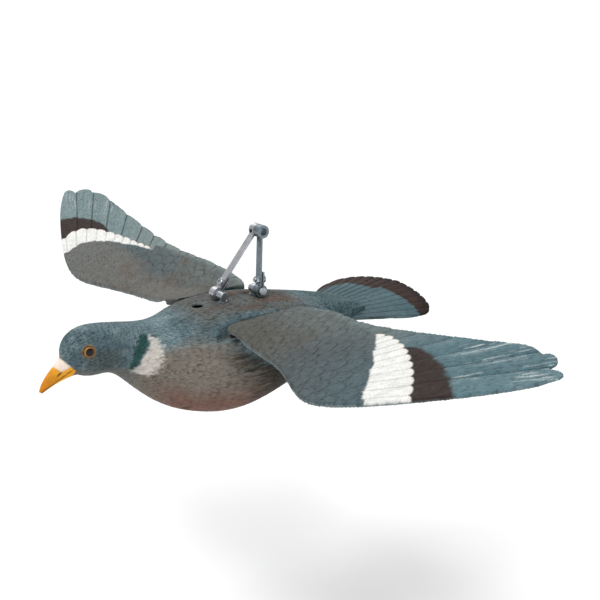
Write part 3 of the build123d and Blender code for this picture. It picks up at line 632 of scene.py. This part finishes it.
# ---------------------------------------------------------------- tail
def tail_relief_and_paint(piece, look):
    co, nr = points(piece)
    x, y, z = co.T
    r = np.hypot(x - TAIL_FAN_X, y)
    psi = np.degrees(np.arctan2(y, x - TAIL_FAN_X))
    along = np.linspace(0, 1, 60)
    knots = np.linspace(0, 1, len(TAIL_SIDE))
    side_x, side_y = np.interp(along, knots, TAIL_SIDE[:, 0]), np.interp(along, knots, TAIL_SIDE[:, 1])
    to_rim = np.full(len(x), 99.0)
    for px, py in zip(side_x[6:], side_y[6:]):
        to_rim = np.minimum(to_rim, np.hypot(x - px, np.abs(y) - py))
    across = np.abs(psi) / TAIL_ANGLE
    index = np.floor(across + 0.5)
    place = across + 0.5 - index
    gap = place * TAIL_ANGLE * np.pi / 180 * r
    other = (1 - place) * TAIL_ANGLE * np.pi / 180 * r
    shaft = np.exp(-(((place - 0.5) * TAIL_ANGLE * np.pi / 180 * r) / 0.7) ** 2)
    under = step(-0.2, 0.4, -nr[:, 2])
    # the middle pair lies on top, so each feather steps down outwards
    height = 0.55 * (1 - place) + 0.2 * shaft - 0.75 * np.exp(-(np.minimum(gap, other) / 0.85) ** 2)
    fine = noise(co, (3.5, 1.0, 1.0), 3.0)
    relief = 0.55 * (height - 0.3) + 0.14 * (fine - 0.5)
    moved = co.copy()
    moved[:, 2] += relief * (step(0.3, 0.7, nr[:, 2]) - 0.5 * step(0.3, 0.7, -nr[:, 2])) * step(80, 90, x)
    notch = 1.7 * np.abs(place * 2 - 1) ** 4 * step(9, 0, to_rim) * step(96, 116, x)
    moved[:, 0] -= notch * np.cos(np.radians(psi))
    moved[:, 1] -= notch * np.sin(np.radians(psi))
    moved[:, 2] += 1.1 * step(8, 1, to_rim) * under * step(90, 100, x)
    cloud = noise(co, 20.0, 2.0)
    blue = mix(TAIL_BLUE, TAIL_DEEP, cloud)
    blue = mix(blue, RUMP, step(114, 84, x + 18 * (cloud - 0.5)) * 0.9)
    blue = blue * (1 - 0.62 * np.exp(-(np.minimum(gap, other) / 0.8) ** 2))[:, None]
    wide = np.where(y > 0, 6 + 26 * step(96, 137, x), 31 * step(117, 138, x))
    ragged = 6.5 * (noise(np.c_[r, psi * 3.0, z * 0], (9.0, 0.9, 1.0), 6.0) - 0.5)
    brown = step(-2.6, 2.6, wide + ragged - to_rim) * step(86, 96, x) * step(0.0, 6.0, wide)
    tip = mix(TAIL_BROWN, TAIL_EDGE,
              np.clip(step(8, 1, to_rim) + 0.5 * step(0.5, 0.9, fine), 0, 1))
    tip = tip * (1 - 0.35 * np.exp(-(np.minimum(gap, other) / 0.7) ** 2))[:, None]
    paint = mix(blue, tip, brown)
    paint = mix(paint, paint * 0.9 + 0.03, under)
    barb = r / 1.4 - np.abs(place - 0.5) * 5
    finish_piece(piece, moved, paint, 1 - 0.5 * brown, barb, (r, np.radians(psi) * 100), look)


# ---------------------------------------------------------------- eyes
def eye_dome(side, name, replaced, look):
    """Domed glass eye: rings of a shallow cap, seated in the head, pupil in the middle."""
    rings, turns, radius, rise = 14, 48, DOME_R, 2.0
    base = 14.1     # the dome's rim, from the middle plane
    back = 11.4     # its flat back, inside the head
    vertices = [(EYE[0], side * (base + rise), EYE[1])]
    for i in range(1, rings + 1):
        share = i / rings
        for j in range(turns):
            turn = 2 * math.pi * j / turns
            lift = rise * math.sqrt(max(0.0, 1 - share ** 2.2))
            vertices.append((EYE[0] + radius * share * math.cos(turn), side * (base + lift),
                             EYE[1] + radius * share * math.sin(turn)))
    for j in range(turns):
        turn = 2 * math.pi * j / turns
        vertices.append((EYE[0] + radius * math.cos(turn), side * back, EYE[1] + radius * math.sin(turn)))
    vertices.append((EYE[0], side * back, EYE[1]))
    faces = [(0, 1 + j, 1 + (j + 1) % turns) for j in range(turns)]
    for i in range(rings):
        for j in range(turns):
            a, b = 1 + i * turns + j, 1 + i * turns + (j + 1) % turns
            faces.append((a, a + turns, b + turns, b))
    last = 1 + rings * turns
    faces += [(last + j, len(vertices) - 1, last + (j + 1) % turns) for j in range(turns)]
    mesh = bpy.data.meshes.new(name)
    mesh.from_pydata([tuple(v / 1000 for v in p) for p in vertices], [], faces)
    piece = bpy.data.objects.new(name, mesh)
    bpy.context.scene.collection.objects.link(piece)
    co = np.array(vertices)
    far = np.hypot(co[:, 0] - EYE[0], co[:, 2] - EYE[1])
    layer = mesh.attributes.new("far", "FLOAT", "POINT")
    layer.data.foreach_set("value", far.astype(np.float32))
    mesh.polygons.foreach_set("use_smooth", np.full(len(mesh.polygons), True))
    mesh.materials.append(look)
    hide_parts(replaced)
    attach(piece, "torso")


def eye_look():
    """Black pupil in an orange ring with radial flecks, under a gloss coat."""
    m, tree, bsdf, where = material("eye")
    far = attribute(tree, "far")
    flecks = noise_node(tree, where, 1800.0, 5.0)
    ramp = tree.nodes.new("ShaderNodeValToRGB")
    ramp.color_ramp.elements[0].position = 0.0
    ramp.color_ramp.elements[0].color = (0.004, 0.004, 0.004, 1)
    ramp.color_ramp.elements[1].position = 0.73
    ramp.color_ramp.elements[1].color = (0.006, 0.005, 0.004, 1)
    rim = ((0.79, (0.30, 0.13, 0.03)), (0.93, (0.34, 0.16, 0.045)), (1.0, (0.12, 0.06, 0.025)))
    for position, colour in rim:
        ramp.color_ramp.elements.new(position).color = (*colour, 1)
    link(tree, ranged(tree, far, 0.0, DOME_R, 0.0, 1.0), ramp.inputs["Fac"])
    shade = ranged(tree, flecks, 0.3, 0.7, 0.7, 1.25)
    link(tree, times(tree, ramp.outputs["Color"], shade), bsdf.inputs["Base Color"])
    link(tree, ranged(tree, noise_node(tree, where, 500.0), 0.3, 0.7, 0.05, 0.12), bsdf.inputs["Roughness"])
    bsdf.inputs["Coat Weight"].default_value = 0.1
    bsdf.inputs["Specular IOR Level"].default_value = 0.22
    bsdf.inputs["Coat Roughness"].default_value = 0.04
    return m


# ---------------------------------------------------------------- build the looks
body_look = painted("painted_body", 0.66, 0.2, 0.55)
wing_look = painted("painted_wing", 0.64, 0.5, 0.45)
tail_look = painted("painted_tail", 0.62, 0.5, 0.40)
for node, name, slot in (("back_shell", "back_skin", "blue_grey_plastic"),
                         ("belly_shell", "belly_skin", "beige_plastic")):
    skin = remeshed(node, name, BODY_CELL, "torso")
    body_relief_and_paint(skin, body_look)
for side, name in ((-1, "left_wing"), (1, "right_wing")):
    skin = remeshed(name, f"{name}_skin", WING_CELL, name)
    wing_relief_and_paint(skin, wing_look, side)
skin = remeshed("tail_fan", "tail_skin", TAIL_CELL, "torso")
tail_relief_and_paint(skin, tail_look)
glass = eye_look()
eye_dome(-1, "left_eye_dome", "left_eye", glass)
eye_dome(1, "right_eye_dome", "right_eye", glass)

zinc_strip = metal("zinc_strip", (0.50, 0.51, 0.54), 0.30, (0.08, 1.0, 0.08))
zinc = metal("zinc_hardware", (0.46, 0.50, 0.54), 0.28, (1.0, 0.12, 1.0))
pin_steel = metal("pin_steel", (0.50, 0.50, 0.52), 0.32, (0.1, 1.0, 1.0))
black_steel = metal("black_steel", (0.06, 0.06, 0.065), 0.42)
looks = {"zinc_strip": zinc_strip, "zinc_hardware": zinc, "pin_steel": pin_steel, "black_steel": black_steel}
# the rear leg's strip is the same zinc as the front leg's, tinted darker as a painted dark reflection
strip_painted_dark_reflection = metal("strip_painted_dark_reflection", (0.20, 0.25, 0.28), 0.34, (0.08, 1.0, 0.08))
slots = {s["node"]: s["material_slot"] for s in frame["record"]["subparts"]}
for node, piece in nodes.items():
    if slots.get(node) in looks:
        piece.data.materials.clear()
        # the rear leg gets the darker copy of the zinc strip: a painted dark reflection
        piece.data.materials.append(strip_painted_dark_reflection if node == "rear_leg" else looks[slots[node]])
        soft = piece.modifiers.new("soft_edges", "BEVEL")
        soft.width = 0.00018
        soft.segments = 2
        soft.limit_method = "ANGLE"
        soft.angle_limit = math.radians(35)

# ---------------------------------------------------------------- floor, light and camera
floor_mesh = bpy.data.meshes.new("floor")
floor_mesh.from_pydata([(-300, -300, 0), (300, -300, 0), (300, 300, 0), (-300, 300, 0)], [], [(0, 1, 2, 3)])
floor = bpy.data.objects.new("floor", floor_mesh)
floor.location = (0, 0, cad_low.z - FLOOR_DROP)
bpy.context.scene.collection.objects.link(floor)
floor_look, tree, bsdf, where = material("floor")
cloud = ranged(tree, noise_node(tree, where, 3.0, 2.0), 0.2, 0.8, 0.86, 0.89)
pale = tree.nodes.new("ShaderNodeCombineColor")
for socket in pale.inputs[:3]:
    link(tree, cloud, socket)
link(tree, pale.outputs[0], bsdf.inputs["Base Color"])
bsdf.inputs["Roughness"].default_value = 0.9
floor_mesh.materials.append(floor_look)

world = bpy.data.worlds.new("studio")
bpy.context.scene.world = world
world.use_nodes = True
sky = world.node_tree
sky.nodes["Background"].inputs[1].default_value = 0.62
direction = sky.nodes.new("ShaderNodeTexCoord")
split = sky.nodes.new("ShaderNodeSeparateXYZ")
link(sky, direction.outputs["Generated"], split.inputs[0])
# a darker band low on the right side gives the bright metal something to mirror
level = ranged(sky, split.outputs["Z"], -0.05, 0.6, 0.45, 1.25)
sideways = ranged(sky, split.outputs["X"], -0.4, 0.9, 1.1, 0.7)
sky_colour = sky.nodes.new("ShaderNodeCombineColor")
for socket in sky_colour.inputs[:3]:
    link(sky, maths(sky, "MULTIPLY", level, sideways), socket)
link(sky, sky_colour.outputs[0], sky.nodes["Background"].inputs[0])


def soft_sun(name, place, strength, spread):
    lamp = bpy.data.lights.new(name, "SUN")
    lamp.energy = strength
    lamp.angle = math.radians(spread)
    holder = bpy.data.objects.new(name, lamp)
    holder.location = place
    holder.rotation_euler = (-Vector(place)).to_track_quat("-Z", "Y").to_euler()
    bpy.context.scene.collection.objects.link(holder)


soft_sun("key", (-0.75, -0.25, 1.5), 1.7, 26)
soft_sun("rim", (0.5, 1.4, 1.1), 0.5, 40)

camera = bpy.data.cameras.new("camera")
camera.sensor_width = 36.0
camera.lens = 59.39
camera.clip_start = 0.01
camera.clip_end = 1000
camera.dof.use_dof = False
holder = bpy.data.objects.new("camera", camera)
right = Vector((0.8176, -0.5753, -0.0228))
upward = Vector((0.1902, 0.2327, 0.9538))
forward = Vector((0.5434, 0.7842, -0.2997))
holder.matrix_world = Matrix((
    (right.x, upward.x, -forward.x, -0.4274),
    (right.y, upward.y, -forward.y, -0.6741),
    (right.z, upward.z, -forward.z, 0.1895),
    (0, 0, 0, 1),
))
bpy.context.scene.collection.objects.link(holder)
bpy.context.scene.camera = holder
bpy.context.scene.view_settings.view_transform = "Standard"
